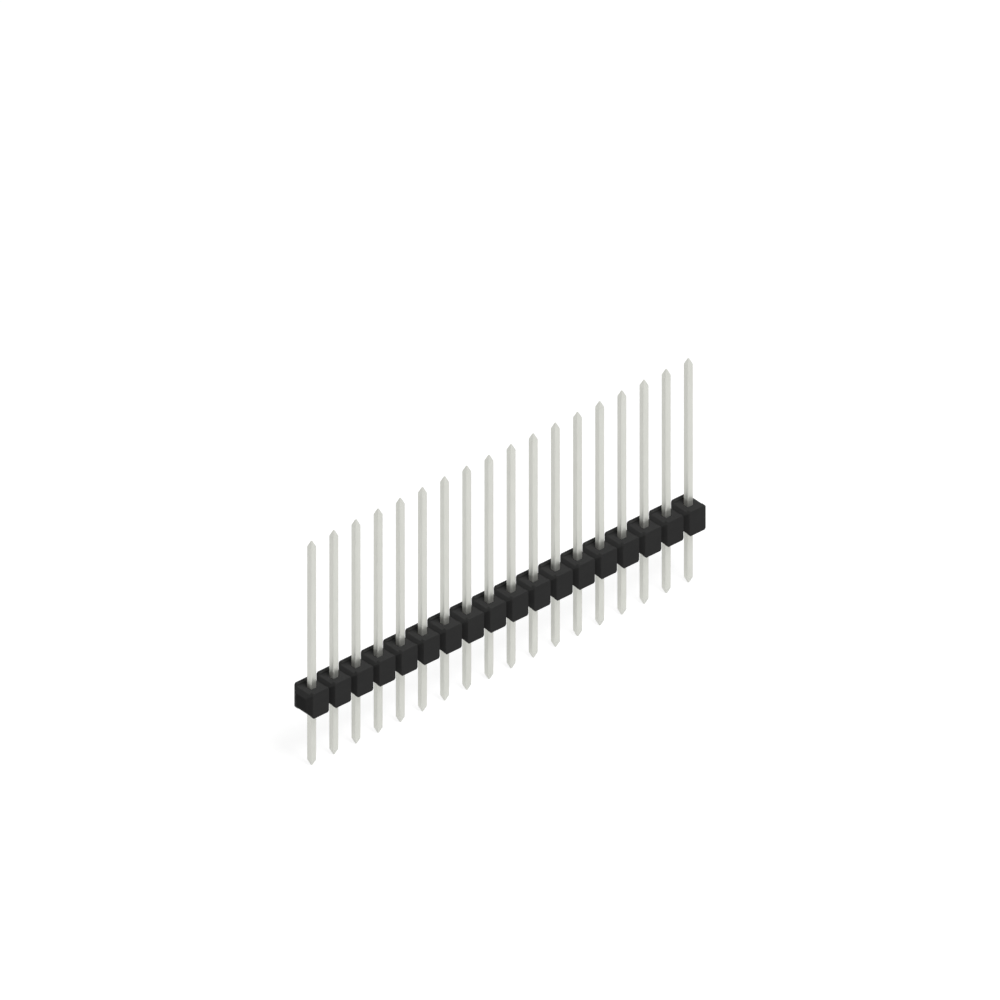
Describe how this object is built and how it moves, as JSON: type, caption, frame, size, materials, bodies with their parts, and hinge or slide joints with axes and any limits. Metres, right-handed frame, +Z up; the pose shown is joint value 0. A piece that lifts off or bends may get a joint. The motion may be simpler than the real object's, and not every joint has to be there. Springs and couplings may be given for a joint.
{
  "type": "pin header strip",
  "caption": "Straight single-row pin header: long square posts, pointed at both ends, held upright in a black break-away moulding.",
  "frame": {"origin": "centre of the row in the plane of the moulding's underside, where it seats on a circuit board", "axes": "+X along the row of posts, +Y across the row, +Z up along the posts, away from the board"},
  "size_m": [0.0458, 0.0024, 0.0234],
  "materials": {
    "resin": "fine satin moulding, black",
    "tin": "satin tin plate"
  },
  "bodies": {
    "root": {"insulator_body": "resin", "pin_01": "tin", "pin_02": "tin", "pin_03": "tin", "pin_04": "tin", "pin_05": "tin", "pin_06": "tin", "pin_07": "tin", "pin_08": "tin", "pin_09": "tin", "pin_10": "tin", "pin_11": "tin", "pin_12": "tin", "pin_13": "tin", "pin_14": "tin", "pin_15": "tin", "pin_16": "tin", "pin_17": "tin", "pin_18": "tin"}
  },
  "joints": []
}
